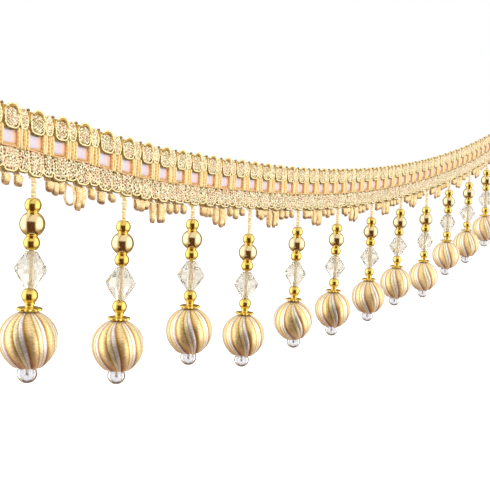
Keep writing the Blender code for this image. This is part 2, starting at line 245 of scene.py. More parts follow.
def woven(name, grids, finishes):
    """A mesh from grids (points in metres, u by row, v by column, closes round, finish number)."""
    points, faces, places, finish_numbers = [], [], [], []
    first = 0
    for grid, u, v, closes, number in grids:
        rows, columns = grid.shape[:2]
        row, column = np.meshgrid(np.arange(rows - 1), np.arange(columns - (not closes)), indexing="ij")
        row, column = row.ravel(), column.ravel()
        along = (column + 1) % columns
        here, below = first + row * columns, first + (row + 1) * columns
        faces.append(np.stack((here + column, here + along, below + along, below + column), axis=1))
        u, v = np.asarray(u, float), np.asarray(v, float)
        places.append(np.stack((u[row], v[column], u[row], v[column + 1],
                                u[row + 1], v[column + 1], u[row + 1], v[column]), axis=1).reshape(-1, 2))
        finish_numbers.append(np.full(len(row), number, np.int32))
        points.append(grid.reshape(-1, 3))
        first += rows * columns
    mesh = bpy.data.meshes.new(name)
    mesh.from_pydata(np.concatenate(points).tolist(), [], np.concatenate(faces).tolist())
    layer = mesh.uv_layers.new(name="lay_mm")
    layer.data.foreach_set("uv", np.concatenate(places).astype(np.float32).ravel())
    mesh.shade_smooth()
    for finish in finishes:
        mesh.materials.append(finish)
    mesh.polygons.foreach_set("material_index", np.concatenate(finish_numbers))
    mesh.update()
    return mesh


def as_piece(name, mesh, pose=Matrix.Identity(4)):
    """A piece of the trim that shows a mesh, in a pose of its own if it has one."""
    piece = in_scene(name, mesh)
    piece.matrix_world = pose
    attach(piece, "root")
    return piece


def made_of(name, grids, finishes):
    """A piece of the trim that is all of grids."""
    return as_piece(name, woven(name, grids, finishes))


def thicken(piece, thickness):
    """Gives a strip of cloth its thickness in millimetres."""
    piece.modifiers.new("body", "SOLIDIFY").thickness = thickness * MM


GROUND_BACK = -0.15
UPPER_DROPS = (0.9, 2.4, 4.0, 5.6, 6.9)
WINDOW_DROPS = (6.9, 8.9, 10.9, 12.9)
LOWER_DROPS = (12.9, 14.3, 16.0, 18.0, 19.5)
ground_columns = []
for window in range(WINDOWS + 1):
    base = START + window * PITCH
    ground_columns += [base, base + 0.5 * BAR]
    if window < WINDOWS:
        ground_columns += [base + BAR + share * (PITCH - BAR) for share in (0.0, 0.25, 0.5, 0.75)]
ground_columns.append(base + BAR)
ground_parts = [cloth(ground_columns, drops, GROUND_BACK) for drops in (UPPER_DROPS, LOWER_DROPS)]
for bar in range(WINDOWS + 1):
    bar_columns = START + bar * PITCH + np.array((0.1, 0.5, 0.9)) * BAR
    ground_parts.append(cloth(bar_columns, WINDOW_DROPS, GROUND_BACK))



def slubs(paint, grain, detail=2.0):
    """Uneven places all over a material, finer as the grain goes up."""
    place = paint("TexCoord", output="Object")
    return paint("TexNoise", {"Vector": place, "Scale": grain, "Detail": detail})


# Mercerised cotton in a close weave: dull, its picks in staggered rows 0.4 mm apart, which is rather
# more than the real spacing, with a faint grain of slubs over them.
gimp_ground, paint, shader = material("old_gold_cotton")
picks = paint("TexBrick", {
    "Vector": paint("TexCoord", output="UV"), "Color1": dye("#b88c44"), "Color2": dye("#cfa75c"),
    "Mortar": dye("#8a6830"), "Scale": 1.0, "Mortar Size": 0.12, "Mortar Smooth": 1.0, "Brick Width": 0.8,
    "Row Height": 0.4}, "Color")
slub = slubs(paint, 700.0, 3.0)
tone = paint("MapRange", {"Value": slub, "From Min": 0.35, "From Max": 0.65, "To Min": 0.82, "To Max": 1.12})
feed(shader, {"Base Color": paint("VectorMath", {0: picks, "Scale": tone}, operation="SCALE"),
              "Roughness": 0.9,
              "Normal": paint("Bump", {"Height": picks, "Strength": 0.8, "Distance": 0.0002})})
gimp_heading = made_of("gimp_ground", ground_parts, [gimp_ground])
thicken(gimp_heading, 0.45)
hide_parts("gimp_heading")

# The upper scroll: gimp cord laid in tongues, a broad one over each window and a narrow one over each bar.
# Crinkled rayon threads fill them. All of it is bound down by the braiding machine as the heading is made.
RING_START = np.array((0.31, -1.0, 0.17))
BROAD, NARROW = 3.0, 1.6


def unit(vectors):
    """The directions of vectors, one by row."""
    return vectors / np.linalg.norm(vectors, axis=1)[:, None]


def walked(line):
    """The length from the start of a line to each of its points."""
    return np.concatenate(((0.0,), np.cumsum(np.linalg.norm(np.diff(line, axis=0), axis=1))))


def yarn(path, radius, sides=6, finish=0, on_swag=True):
    """A grid for a round yarn along a path of (station, drop, back) points, its places in millimetres."""
    line = on_trim(path) if on_swag else np.asarray(path, float) * MM
    closed = np.allclose(line[0], line[-1])
    ahead = np.gradient(line, axis=0)
    if closed:
        ahead[0] = ahead[-1] = line[1] - line[-2]
    ahead = unit(ahead)
    out = unit(RING_START - ahead * (ahead @ RING_START)[:, None])
    over = np.cross(ahead, out)
    thick = np.full(len(line), radius * MM)
    if not closed:  # each end is drawn in to a blunt tip
        tip = 0.6 * radius * MM
        line = np.concatenate((line[:1] - ahead[:1] * tip, line, line[-1:] + ahead[-1:] * tip))
        out, over = (np.concatenate((edge[:1], edge, edge[-1:])) for edge in (out, over))
        thick = np.pad(thick, 1, constant_values=0.3 * radius * MM)
    turn = 2.0 * math.pi * np.arange(sides) / sides
    ring = out[:, None] * np.cos(turn)[None, :, None] + over[:, None] * np.sin(turn)[None, :, None]
    # Each yarn starts at a place of its own along its pattern.
    lay = walked(line) / MM + 50.0 * abs(math.sin(9000.0 * line[0, 0] + 7000.0 * line[0, 2]))
    return line[:, None] + ring * thick[:, None, None], lay, np.arange(sides + 1) / sides, True, finish


def tongue(middle, half, top, bottom, front, steps=28, dip=0.0):
    """A loop of cord, straight down its sides and round below. Its top may dip under other threads."""
    turn = np.linspace(0.0, 2.0 * math.pi, steps + 1)
    across = np.sign(np.sin(turn)) * np.abs(np.sin(turn)) ** 0.55
    down = -np.sign(np.cos(turn)) * np.abs(np.cos(turn)) ** 0.8
    drop = 0.5 * (top + bottom) + 0.5 * (bottom - top) * down
    back = front + dip * np.clip(np.cos(turn), 0.0, 1.0) ** 0.6
    return np.stack((middle + half * across, drop, back), axis=-1)


def arch(middle, half, top, front, bow):
    """A thread arched over a tongue. It comes down lower on its right, and its ends lie further back."""
    hump = np.linspace(-1.0, 1.0, 13)
    fall = np.abs(hump) ** 2.6 * np.where(hump > 0.0, 2.3, 1.2)
    return np.stack((middle + half * hump, top + fall, front + bow * hump ** 2), axis=-1)


def crinkle(station, top, bottom, front, sway, seed, wave=1.05):
    """A crinkled thread down the braid. Its waves start at a place of their own."""
    drop = np.linspace(top, bottom, max(4, round(5.0 * abs(bottom - top) / wave)) + 1)
    phase = 2.0 * math.pi * drop / wave + 1.9 * seed
    return np.stack((station + sway * np.sin(phase), drop, front + 0.6 * sway * np.cos(1.3 * phase)), axis=-1)


upper_cords, upper_threads = [], []
for window in range(WINDOWS):
    middle = START + window * PITCH + 0.5 * (BAR + PITCH) + 0.1
    # A bright cord makes the tongue and the arch over it. The arch lies on a padding thread and on a dark
    # thread of painted shadow, and a dark thread of painted shadow lies under the tongue.
    upper_cords += [yarn(tongue(middle, BROAD, 1.3, 7.1, -1.0, dip=0.75), 0.27),
                    yarn(arch(middle + 0.25, 2.6, 0.0, -1.3, 0.3), 0.28)]
    upper_threads += [yarn(arch(middle + 0.5, 2.3, 0.52, -1.0, 0.3), 0.34, 8, 1),
                      yarn(arch(middle + 0.35, 2.0, 1.0, -0.85, 0.2), 0.22, 6, 2),
                      yarn(tongue(middle - 0.25, BROAD + 0.35, 3.0, 7.6, -0.4), 0.34, 6, 2)]
    for number, offset in enumerate(np.linspace(-2.45, 2.45, 9)):
        seed = 5.3 * math.sin(3.1 * window + 2.3 * number)
        path = crinkle(middle + offset, 1.4 + 0.13 * offset ** 2, 6.8 - 0.22 * offset ** 2, -0.75, 0.26, seed)
        upper_threads.append(yarn(path, 0.25 + 0.05 * math.sin(4.1 * number + window), 4))
for bar in range(WINDOWS + 1):
    middle = START + bar * PITCH + 0.5 * BAR - 0.3
    upper_cords.append(yarn(tongue(middle, NARROW, 0.7, 6.6, -0.9, 20, 0.6), 0.27))
    # A dark thread of painted shadow lies under each narrow tongue too.
    upper_threads.append(yarn(tongue(middle - 0.2, NARROW + 0.3, 2.6, 7.1, -0.4, 20), 0.32, 6, 2))
    # A padding thread fills the gap on the right of each narrow tongue, from a knot at the top edge.
    padding = (1.7, 0.5, -0.3), (2.05, 1.3, -0.75), (2.1, 3.0, -0.85), (2.0, 4.6, -0.6)
    edge_knot = (1.3, 0.65, -0.6), (1.75, 0.5, -0.8), (2.2, 0.7, -0.6)
    for line, radius, sides, finish in ((padding, 0.36, 6, 1), (edge_knot, 0.3, 10, 2)):
        upper_threads.append(yarn(np.array(line) + (middle, 0.0, 0.0), radius, sides, finish))
    for number, offset in enumerate((-1.0, -0.5, 0.0, 0.5, 1.0)):
        seed = 5.3 * math.sin(2.7 * bar + 1.9 * number)
        path = crinkle(middle + offset, 0.8 + 0.5 * offset ** 2, 6.2 - 0.6 * offset ** 2, -0.7, 0.2, seed)
        upper_threads.append(yarn(path, 0.27, 4))

WRAP = 0.6  # mm between turns of the wrapping thread: coarser than the real one, so that it shows


def wrapped(name, deep, light, roughness=0.45, relief=0.0):
    """Rayon thread laid round and round: a soft gloss, and slanting lines in two shades, the deeper painted
    shade.
    """
    made, paint, shader = material(name)
    lay = paint("SeparateXYZ", {0: paint("TexCoord", output="UV")}, "X")
    turns = paint("Math", {0: lay, 1: 1.0 / WRAP, 2: lay.node.outputs["Y"]}, operation="MULTIPLY_ADD")
    wrap = paint("Math", {0: turns, 1: 1.0}, operation="PINGPONG")
    shade = paint("Mix", {0: wrap, 6: dye(deep), 7: dye(light)}, **BLEND)
    feed(shader, {"Base Color": shade, "Roughness": roughness, "Sheen Weight": 0.2})
    if relief:
        bumps = paint("Bump", {"Height": wrap, "Strength": relief, "Distance": 0.0001})
        feed(shader, {"Normal": bumps})
    return made


def slubbed(name, deep, light, grain, roughness=0.8, relief=0.0, detail=2.0, even=(0.0, 1.0)):
    """Plain thread: two shades of its dye that follow its slubs, and the slubs themselves."""
    made, paint, shader = material(name)
    slub = slubs(paint, grain, detail)
    tone = paint("MapRange", {"Value": slub, "From Min": even[0], "From Max": even[1]})
    shade = paint("Mix", {0: tone, 6: dye(deep), 7: dye(light)}, **BLEND)
    feed(shader, {"Base Color": shade, "Roughness": roughness})
    if relief:
        bumps = paint("Bump", {"Height": slub, "Strength": relief, "Distance": 0.0002})
        feed(shader, {"Normal": bumps})
    return made


# Rayon gimp: bright thread wrapped round a core. Each turn shows as a ridge, and as a slanting line of
# painted shade in the groove between turns.
cream_gimp = wrapped("cream_rayon_gimp", "#d9bc6e", "#fbf1c0", relief=0.5)

# Crinkled rayon filament: silky and pale, flecked at random with khaki and pink as painted shade between the
# crinkles.
crinkled_rayon, paint, shader = material("crinkled_rayon")
tone = paint("MapRange", {"Value": slubs(paint, 1500.0), "From Min": 0.38, "From Max": 0.6})
side = paint("MapRange", {"Value": slubs(paint, 420.0, 1.0), "From Min": 0.4, "From Max": 0.6})
deep = paint("Mix", {0: side, 6: dye("#a88e48"), 7: dye("#c4985e")}, **BLEND)
light = paint("Mix", {0: side, 6: dye("#f8f1d2"), 7: dye("#f4e0c4")}, **BLEND)
shade = paint("Mix", {0: tone, 6: deep, 7: light}, **BLEND)
feed(shader, {"Base Color": shade, "Roughness": 0.4, "Sheen Weight": 0.2})

# The same filament in its deeper dye, which shows under each arch.
bronze_rayon = slubbed("bronze_rayon", "#8c6622", "#cca04a", 900.0, 0.35)

# Dull cotton in dark bronze, for knots, and as painted shadow beside each tongue and under each arch.
knot_and_shadow_cotton = slubbed("knot_and_shadow_cotton", "#4d3a10", "#9c7838", 800.0, even=(0.35, 0.65))

upper_scroll = made_of("upper_scroll_cords", upper_cords, [cream_gimp])
upper_fill = made_of("upper_scroll_threads", upper_threads, [crinkled_rayon, bronze_rayon, knot_and_shadow_cotton])

# The warp bars: seven straight threads over each bar of the ground, four cream and three gold, that hold the
# scrolls together across the row of windows. Peach threads edge each window, and dark knots end the bars.
BAR_THREADS = (  # share across the bar, radius, front, finish
    (-0.04, 0.26, -0.5, 1),
    (0.07, 0.36, -0.55, 0),
    (0.27, 0.44, -0.55, 0),
    (0.47, 0.34, -0.6, 1),
    (0.64, 0.36, -0.55, 0),
    (0.80, 0.3, -0.55, 1),
    (0.94, 0.36, -0.5, 0),
    (0.02, 0.44, -0.12, 2),
    (0.97, 0.38, -0.12, 2),
)
WINDOW_THREADS = (  # drop, front, waves, their shift from window to window, radius, finish
    (12.0, -0.35, 3.0, 1, 0.2, 1),
    (12.55, -0.3, 4.0, 2, 0.3, 2),
)
bar_threads = []
for window in range(WINDOWS):
    left = START + window * PITCH + BAR
    for drop, front, waves, shift, radius, finish in WINDOW_THREADS:
        bar_threads.append(yarn([(left + share * (PITCH - BAR),
                                  drop + 0.1 * math.sin(waves * share + shift * window), front)
                                 for share in (-0.05, 0.25, 0.5, 0.75, 1.05)], radius, 5, finish))
for bar in range(WINDOWS + 1):
    base = START + bar * PITCH
    for number, (share, radius, front, finish) in enumerate(BAR_THREADS):
        sway = 0.12 * math.sin(2.3 * bar + 1.7 * number)
        bar_threads.append(yarn([
            (base + share * BAR + sway * math.sin(1.5 * step), 6.0 + 1.25 * step,
             front - 0.12 * math.sin(0.52 * step) + (0.5 if step in (0, 6) else 0.0)) for step in range(7)
        ], radius, 6, finish))
    for share in (0.12, 0.9):
        knot = base + share * BAR
        bar_threads.append(yarn([(knot - 0.3, 13.1, -0.8), (knot, 13.3, -1.15), (knot + 0.3, 13.1, -0.8)],
                                0.28, 8, 3))

# Gold-dyed rayon gimp, a shade deeper than the cream.
gold_gimp = wrapped("gold_rayon_gimp", "#b88638", "#e2bc68")

# Mercerised cotton thread, undyed cream: round and glossy, with hardly a line in it.
cream_thread = slubbed("cream_mercerised_thread", "#d6b472", "#f4e4b6", 350.0, 0.4, 0.3, 3.0)

# Peach-dyed cotton, soft and dull.
peach_cotton = slubbed("peach_cotton", "#cb9560", "#f6d2a6", 900.0)

warp_bars = made_of("warp_bars", bar_threads, [cream_thread, gold_gimp, peach_cotton, knot_and_shadow_cotton])

# The lower scroll: the same tongues turned over, broad under each window and narrow under each bar, but of
# looser boucle, so its filling stands up in knots. Its outer cord makes the scalloped lower edge.


def curls(station, top, bottom, front, reach, wave, seed):
    """A thread down the braid that curls over itself as it goes, as boucle does."""
    turns = max(2, round((bottom - top) / wave))
    phase = np.linspace(0.0, 2.0 * math.pi * turns, 7 * turns + 1)
    sway = 0.18 * np.sin(0.37 * phase + seed)
    return np.stack((station + sway + reach * np.sin(phase + seed),
                     top + (bottom - top) * phase / phase[-1] - 0.9 * reach * np.cos(phase + seed),
                     front - 0.2 * np.cos(phase + seed) + 0.15 * np.sin(0.7 * phase + 3.0 * seed)), axis=-1)


lower_cords, lower_threads = [], []
for half in range(2 * WINDOWS + 1):
    bar, over_window = divmod(half, 2)
    middle = START + bar * PITCH + (0.5 * (BAR + PITCH) if over_window else 0.5 * BAR)
    wide, deep, strands = (3.15, 19.9, 6) if over_window else (2.35, 19.3, 4)
    outline = tongue(middle, wide, 13.0, deep, -0.85, 40, 0.7)
    wobble = np.arange(len(outline)) * 1.25 + half
    outline[1:-1, 0] += 0.16 * np.sin(wobble[1:-1])
    outline[1:-1, 2] += 0.16 * np.cos(wobble[1:-1]) + 0.1
    lower_cords.append(yarn(outline, 0.27))
    # A dark thread just outside each outline is painted shadow under the scallop.
    lower_threads.append(yarn(tongue(middle, wide + 0.25, 14.0, deep + 0.42, -0.35, 22), 0.28, 5, 1))
    for number, offset in enumerate((wide - 0.75) * np.linspace(-1.0, 1.0, strands)):
        shrink = 0.8 * (offset / wide) ** 2
        seed = 9.0 * math.sin(3.3 * half + 2.1 * number)
        path = curls(middle + offset, 13.2 + 0.6 * shrink, deep - 0.7 - shrink, -0.75,
                     0.42 + 0.08 * math.sin(seed), 1.0 + 0.2 * math.cos(1.7 * seed), seed)
        lower_threads.append(yarn(path, 0.32 + 0.04 * math.sin(2.3 * seed), 4))
lower_scroll = made_of("lower_scroll_cords", lower_cords, [cream_gimp])
lower_fill = made_of("lower_scroll_threads", lower_threads, [crinkled_rayon, knot_and_shadow_cotton])

# The satin ribbon: a narrow polyester satin threaded along behind the windows, pale lilac-white. It bows
# a little toward each window, and is caught down by the bars that it passes behind.
RIBBON_TOP, RIBBON_WIDTH = 6.8, 6.2
FIRST_BAR, LAST_BAR = START + 0.5 * BAR, START + WINDOWS * PITCH + 0.5 * BAR
ribbon_stations = np.linspace(FIRST_BAR, LAST_BAR, 12 * WINDOWS + 1)
ribbon_drops = RIBBON_TOP + RIBBON_WIDTH * np.linspace(0.0, 1.0, 9)
in_window = 0.5 - 0.5 * np.cos(2.0 * math.pi * (ribbon_stations - FIRST_BAR) / PITCH)
from_middle = (ribbon_drops - 9.7) / 3.1
ribbon_back = (0.6 - 0.72 * in_window ** 0.5)[:, None] + 0.2 * from_middle[None, :] ** 2
satin_sheet = cloth(ribbon_stations, ribbon_drops, ribbon_back)

# Polyester satin: smooth and lustrous along its warp, with fine slubs in its weft. Peach is painted on it
# toward
# the sides and the bottom of each window: a painted reflection of the yarns round it.
SLUB = 0.5  # mm between slubs
lilac_satin, paint, shader = material("lilac_white_satin")
lay = paint("SeparateXYZ", {0: paint("TexCoord", output="UV")}, "X")
pitch_share = paint("Math", {0: lay, 1: 1.0 / PITCH, 2: -START / PITCH}, operation="MULTIPLY_ADD")
pitch_share = paint("Math", {0: pitch_share}, operation="FRACT")
across = paint("ValToRGB", {"Fac": pitch_share}, "Color", stops=(
    (0.42, "#e9cda6"), (0.47, "#ccc6cf"), (0.68, "#c8bccb"), (0.82, "#dabcb2"), (0.92, "#ecb98e")))
low = paint("MapRange", {"Value": lay.node.outputs["Y"], "From Min": 11.3, "From Max": 12.1})
shade = paint("Mix", {0: low, 6: across, 7: dye("#d8985e")}, **BLEND)
rib = paint("Math", {0: lay, 1: 2.0 * math.pi / SLUB}, operation="MULTIPLY")
rib = paint("Math", {0: rib}, operation="SINE")
feed(shader, {"Base Color": shade, "Roughness": 0.3, "Sheen Weight": 0.2,
              "Normal": paint("Bump", {"Height": rib, "Strength": 0.25, "Distance": 0.0001})})
satin = made_of("satin_ribbon_sheet", [satin_sheet], [lilac_satin])
thicken(satin, 0.2)
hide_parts("satin_ribbon")

# The fringe of ribbon loops: a narrow tape behind the heading's lower edge, from which short loops of flat
# apricot rayon come forward under the scallops and hang, with three longer ones between each pair of drops.
DROPS = 12
DROP_SPACING = 45.0
BEND = 20.35
LOOPS = np.array((  # station from the drop, length below the bend, ribbon width, opens sideways
    (7.4, 4.1, 1.9, 0),
    (10.0, 4.5, 1.9, 0),
    (12.6, 3.9, 1.9, 0),
    (17.0, 7.8, 1.8, 1),
    (21.4, 8.2, 1.7, 0),
    (23.4, 7.6, 1.5, 0),
    (28.2, 4.0, 1.9, 0),
    (32.8, 4.3, 1.9, 0),
    (38.2, 3.5, 1.9, 0),
))
CLOSED_LOOP = (  # back, drop below the bend: down the front of the loop and up its back, 4 mm long
    (1.75, -3.0), (1.5, -0.8), (0.9, 0.0), (-0.5, 0.4), (-0.95, 1.2), (-1.05, 2.3), (-0.75, 3.3),
    (0.05, 3.95), (0.75, 3.3), (1.0, 2.2), (1.2, 0.6), (1.95, -3.0),
)
OPEN_LOOP = (  # the same, 8 mm long
    (1.75, -3.0), (1.5, -0.8), (0.8, 0.2), (-1.2, 1.0), (-1.95, 2.8), (-2.05, 5.0), (-1.5, 6.9),
    (-0.2, 7.75), (1.0, 7.3), (1.8, 5.8), (2.15, 3.6), (2.0, 1.2), (1.95, -3.0),
)
CLOSED_LENGTH, OPEN_LENGTH = 4.0, 8.0
LOOP_MIDDLE = 0.2
LOOP_STEPS = 44
NARROWED = (  # steps, shares of the full width
    (0, 8, 16, 22, 28, 36, LOOP_STEPS), (0.7, 1.0, 0.95, 0.72, 0.95, 1.0, 0.7))
RIBBON_SECTION = (  # share of half the width across, out from the middle
    (-1.0, -0.5), (-0.5, -0.9), (0.0, -0.6), (0.5, -0.9), (1.0, -0.5),
    (1.0, 0.5), (0.5, 0.3), (0.0, 0.5), (-0.5, 0.3), (-1.0, 0.5),
)
HALF_THICK = 0.15


def smooth_path(points, steps):
    """Points spaced along a curve that passes smoothly through the given ones."""
    points = np.asarray(points, float)
    padded = np.concatenate((2.0 * points[:1] - points[1:2], points, 2.0 * points[-1:] - points[-2:-1]))
    at = np.linspace(0.0, len(points) - 1.0, steps + 1)
    before = np.minimum(at.astype(int), len(points) - 2)
    share = (at - before)[:, None]
    p0, p1, p2, p3 = (padded[before + step] for step in range(4))
    return 0.5 * (2.0 * p1 + (p2 - p0) * share + (2.0 * p0 - 5.0 * p1 + 4.0 * p2 - p3) * share ** 2
                  + (3.0 * p1 - p0 - 3.0 * p2 + p3) * share ** 3)


def ribbon_loop(station, stretch, width, swing, outline, seed):
    """A grid for a flat ribbon, 0.3 mm thick, along a loop's outline, stretched down and turned by swing."""
    path = smooth_path(outline, LOOP_STEPS)
    path[path[:, 1] > 0.0, 1] *= stretch
    ahead = unit(np.gradient(path, axis=0))
    out = np.stack((ahead[:, 1], -ahead[:, 0]), axis=1)
    step = np.arange(LOOP_STEPS + 1)
    half_wide = 0.5 * width * np.interp(step, *NARROWED)
    cup = -0.35 + 0.08 * np.sin(0.5 * step + seed)
    turned_by = swing * np.clip((path[:, 1] + 1.0) / 2.5, 0.0, 1.0)
    grid = []
    for across, thick in RIBBON_SECTION:
        lift = HALF_THICK * thick - cup * across * across
        along, back = half_wide * across, path[:, 0] + out[:, 0] * lift - LOOP_MIDDLE
        grid.append(np.stack((station + along * np.cos(turned_by) - back * np.sin(turned_by),
                              BEND + path[:, 1] + out[:, 1] * lift,
                              LOOP_MIDDLE + along * np.sin(turned_by) + back * np.cos(turned_by)), axis=-1))
    lay = walked(path)
    lay -= lay[np.argmax(path[:, 1])]
    lay_across = np.array([across for across, _ in RIBBON_SECTION + RIBBON_SECTION[:1]]) * 0.5 * width
    return on_trim(np.stack(grid, axis=1)), lay, lay_across, True, 0


loop_grids = []
for gap in range(-1, DROPS):
    for offset, length, width, opens in LOOPS:
        station = gap * DROP_SPACING + offset
        if not START + width < station < START + WINDOWS * PITCH + BAR - width:
            continue
        seed = len(loop_grids) + 1
        length += 0.4 * math.sin(2.4 * seed)
        if opens and gap < 1:  # the others have been pressed flat
            loop_grids.append(ribbon_loop(station, length / OPEN_LENGTH, width - 0.3, math.radians(15.0),
                                          OPEN_LOOP, seed))
        else:
            swing = math.radians(-14.0 + 10.0 * math.sin(1.7 * seed))
            loop_grids.append(ribbon_loop(station, length / CLOSED_LENGTH, width + 0.7, swing,
                                          CLOSED_LOOP, seed))

# Flat rayon ribbon in apricot: fine cross ribs, silky, with painted shade that deepens to brown at each
# loop's foot.
RIB, RIB_LEAN = 0.42, 0.6  # mm between cross ribs: rather more than the real spacing, so that they show
apricot_rayon, paint, shader = material("apricot_rayon")
slub = slubs(paint, 650.0)
lay = paint("SeparateXYZ", {0: paint("TexCoord", output="UV")}, "X")
ribs = paint("Math", {0: lay.node.outputs["Y"], 1: RIB_LEAN, 2: lay}, operation="MULTIPLY_ADD")
ribs = paint("Math", {0: ribs, 1: 1.0 / RIB}, operation="MULTIPLY")
ribs = paint("Math", {0: ribs, 1: 1.0}, operation="PINGPONG")
# The ribs darken the colour in their grooves as painted shade, and the slubs vary it.
tone = paint("Math", {0: ribs, 1: 0.3, 2: slub}, operation="MULTIPLY_ADD")
tone = paint("MapRange", {"Value": tone, "From Min": 0.42, "From Max": 0.78})
shade = paint("Mix", {0: tone, 6: dye("#c89c56"), 7: dye("#f0d6a0")}, **BLEND)
# Painted shade: the colour deepens to brown near the foot of each loop, unevenly.
from_turn = paint("Math", {0: lay}, operation="ABSOLUTE")
loop_foot_shade = paint("MapRange", {"Value": from_turn, "From Min": 2.3, "From Max": 0.9, "To Max": 1.7},
               interpolation_type="SMOOTHSTEP")
loop_foot_shade = paint("Math", {0: loop_foot_shade, 1: slub}, operation="MULTIPLY")
shade = paint("Mix", {0: loop_foot_shade, 6: shade, 7: dye("#7e4e1a")}, **BLEND)
feed(shader, {"Base Color": shade, "Roughness": 0.45, "Sheen Weight": 0.2,
              "Normal": paint("Bump", {"Height": ribs, "Strength": 0.5, "Distance": 0.0001})})
loops = made_of("ribbon_loops", loop_grids, [apricot_rayon])
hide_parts("loop_fringe")

# The tape that holds the loops and the drops: a narrow tape of undyed cotton in a plain weave, matt, that is
# stitched along the back of the heading.
TAPE_TOP, TAPE_WIDTH, TAPE_BACK = 13.4, 5.0, 1.7
natural_cotton, paint, shader = material("natural_cotton_tape")
weave = paint("TexChecker", {
    "Vector": paint("TexCoord", output="UV"), "Scale": 2.0, "Color1": dye("#f3e6c8"),
    "Color2": dye("#dcc390")}, "Color")
feed(shader, {"Base Color": weave, "Roughness": 0.9,
              "Normal": paint("Bump", {"Height": weave, "Strength": 0.6, "Distance": 0.0002})})
tape_stations = np.linspace(FIRST_BAR, LAST_BAR, 6 * WINDOWS + 1)
tape_sheet = cloth(tape_stations, TAPE_TOP + TAPE_WIDTH * np.linspace(0.0, 1.0, 6), TAPE_BACK)
tape = made_of("header_tape", [tape_sheet], [natural_cotton])
thicken(tape, 0.7)

# The drop cords: two plies of cream and peach rayon, hard twisted, each sewn to the tape behind the heading.
# It comes forward under the heading's edge and hangs, and carries the beads of one drop.
HEADING_HIGH, BELOW_EDGE, HANG_BACK = 20.0, 1.8, 0.1
HANG_DROP = HEADING_HIGH + BELOW_EDGE
CORD_STEPS = 120
PLY = 0.42
LAY_LENGTH = 1.6  # for one turn of both plies
DROP_TABLE = np.array((  # cord below the edge, lean along, lean to the front, ball's turn and tilt in degrees
    (6.7, -0.6, 0.0, 17, 0),
    (8.7, -1.0, 0.0, 17, 0),
    (5.7, 1.0, 0.2, 26, 0),
    (11.1, -0.8, 0.0, 23, 2),
    (8.2, 0.0, 0.0, 33, -10),
    (8.5, 0.3, 0.0, 18, 0),
    (7.9, 0.3, 1.0, 40, 1),
    (7.2, -0.2, -0.4, 7, 0),
    (11.2, 0.3, 1.0, 28, -2),
    (6.4, 0.3, 0.9, 14, 0),
    (8.3, 0.2, 1.1, 36, 1),
    (7.2, 0.4, 1.8, 21, 0),
))


def hung_from(number):
    """The frame of a drop: its origin where its cord hangs from, its Z up the cord, in metres."""
    _, along, front, _, _ = DROP_TABLE[number]
    return (Matrix.Translation(on_trim((number * DROP_SPACING, HANG_DROP, HANG_BACK)))
            @ Matrix.Rotation(math.radians(-along), 4, "Y") @ Matrix.Rotation(math.radians(-front), 4, "X"))


cord_grids = []
bend = HANG_DROP - BEND
for number, cord in enumerate(DROP_TABLE[:, 0]):
    path = smooth_path((  # back, height
        (1.8, 6.0), (1.75, 3.0), (1.5, bend + 0.3), (0.3, bend - 0.35), (0.0, bend - 1.4),
        (0.0, BELOW_EDGE - 0.5 * cord), (0.0, BELOW_EDGE - cord - 1.0)), CORD_STEPS)
    ahead = unit(np.gradient(path, axis=0))
    drop_frame = np.array(hung_from(number))
    for ply in range(2):
        phase = 2.0 * math.pi * walked(path) / LAY_LENGTH + math.pi * ply
        line = np.stack((PLY * np.cos(phase), path[:, 0] - ahead[:, 1] * PLY * np.sin(phase),
                         path[:, 1] + ahead[:, 0] * PLY * np.sin(phase)), axis=-1)
        line = line @ drop_frame[:3, :3].T + drop_frame[:3, 3] / MM
        cord_grids.append(yarn(line, PLY, 6, ply, on_swag=False))

# Rayon ply, dyed peach, beside a cream ply of the gimp's own thread.
peach_rayon = wrapped("peach_rayon_ply", "#c89c68", "#f0d8b2", 0.5)
drop_cords = made_of("drop_cords", cord_grids, [cream_gimp, peach_rayon])

# The gilt beads of each drop: a large round bead between two small ones, strung on the cord. They are
# moulded ABS with a vacuum-plated gilt finish, the large one paler, and each has a rimmed hole.
SMALL_BEAD, LARGE_BEAD, HOLE = 2.6, 4.0, 1.4
RING_WIDE, RING_HIGH, RING_RADIUS = 0.45, 0.4, 1.35


def turned(profile, around, finish=0, ripple=None):
    """A grid turned about Z from (radius, height) points. Ripple gives each ring's radius round it."""
    profile = np.asarray(profile, float)
    radius, height = profile.T
    turn = 2.0 * math.pi * np.arange(around) / around
    spread = radius[:, None] * (np.ones((len(radius), around)) if ripple is None else ripple(radius, turn))
    grid = np.stack((spread * np.cos(turn), spread * np.sin(turn),
                     np.broadcast_to(height[:, None], spread.shape)), axis=-1)
    return grid * MM, walked(profile), np.degrees(np.append(turn, 2.0 * math.pi)), True, finish


def bead(middle, radius, hole=HOLE, finish=0, around=32, steps=20, squat=1.0, bore=0.7):
    """A round bead with a bored hole, its edges a little rounded. Squat is its height over its width."""
    start = math.asin(hole / radius)
    rim = radius * squat * math.cos(start)
    edge = [(bore, 0.0), (bore, 0.9 * rim), (0.5 * (bore + hole), rim + 0.02)]
    profile = [(wide, middle + high) for wide, high in edge]
    profile += [(radius * math.sin(angle), middle + radius * squat * math.cos(angle))
                for angle in np.linspace(start, math.pi - start, steps)]
    profile += [(wide, middle - high) for wide, high in edge[::-1]]
    return turned(profile, around, finish)


def below_cord(number, depth=0.0):
    """The pose of what hangs a depth in millimetres below the end of a drop's cord."""
    down = DROP_TABLE[number, 0] - BELOW_EDGE + depth
    return hung_from(number) @ Matrix.Translation((0.0, 0.0, -down * MM))


def place_drops(name, mesh, pose, node=None):
    """Hangs one copy of a mesh on every drop, and lets it stand for that drop's solid."""
    for number in range(DROPS):
        piece = as_piece(f"drop_{number + 1:02d}_{name}", mesh, pose(number))
        if node:
            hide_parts(f"drop_{number + 1:02d}_{node}")


